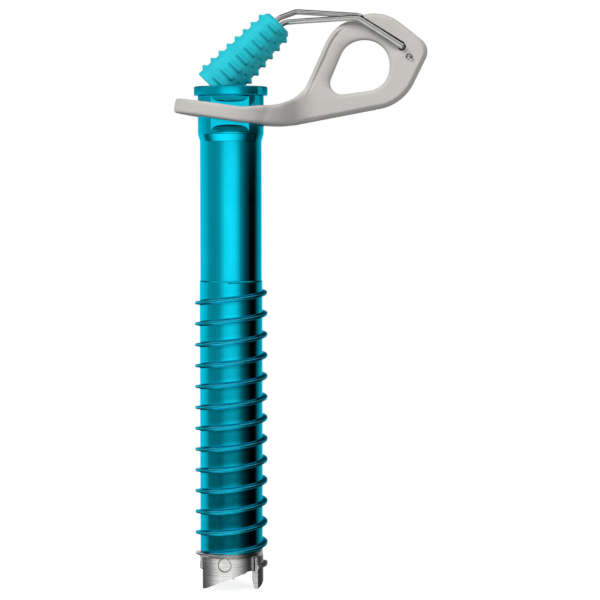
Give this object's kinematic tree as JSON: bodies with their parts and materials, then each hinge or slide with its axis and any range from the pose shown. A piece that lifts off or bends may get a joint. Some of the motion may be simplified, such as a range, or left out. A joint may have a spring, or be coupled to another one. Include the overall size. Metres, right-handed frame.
{
  "type": "ice climbing screw",
  "caption": "Hollow ice screw with a toothed steel crown, external thread, tilting forged hanger and a folding wire crank with a ribbed knob.",
  "frame": {"origin": "on the tube's axis at the height of the tooth tips, where the screw enters the ice", "axes": "+Z along the tube from the teeth to the head, +X towards the carabiner eye"},
  "size_m": [0.0809, 0.036, 0.1849],
  "materials": {
    "anodised": "bright turquoise anodised",
    "crown_steel": "turned steel",
    "forged_aluminium": "forged and blasted",
    "spring_wire": "polished spring steel",
    "grip_plastic": "satin turquoise"
  },
  "bodies": {
    "screw": {"screw_tube": "anodised", "head_collar": "anodised", "cutting_crown": "crown_steel", "crown_pin_1": "crown_steel", "crown_pin_2": "crown_steel", "crown_pin_3": "crown_steel"},
    "hanger": {"hanger": "forged_aluminium"},
    "crank": {"crank_wire": "spring_wire", "grip_core": "spring_wire", "grip_washer": "spring_wire"},
    "knob": {"grip_sleeve": "grip_plastic", "grip_end_cap": "grip_plastic"}
  },
  "joints": [
    {"name": "hanger_tilt", "type": "hinge", "parent": "screw", "child": "hanger", "pos_m": [0, 0, 0.1514], "axis": [0, 1, 0], "range_deg": [-8.6, 0]},
    {"name": "crank_fold", "type": "hinge", "parent": "hanger", "child": "crank", "pos_m": [0.0565, 0, 0.1693], "axis": [0, 1, 0], "range_deg": [0, 135]},
    {"name": "knob_spin", "type": "hinge", "parent": "crank", "child": "knob", "pos_m": [0.01525, 0, 0.18015], "axis": [-0.7022, 0, -0.712], "continuous": true}
  ]
}
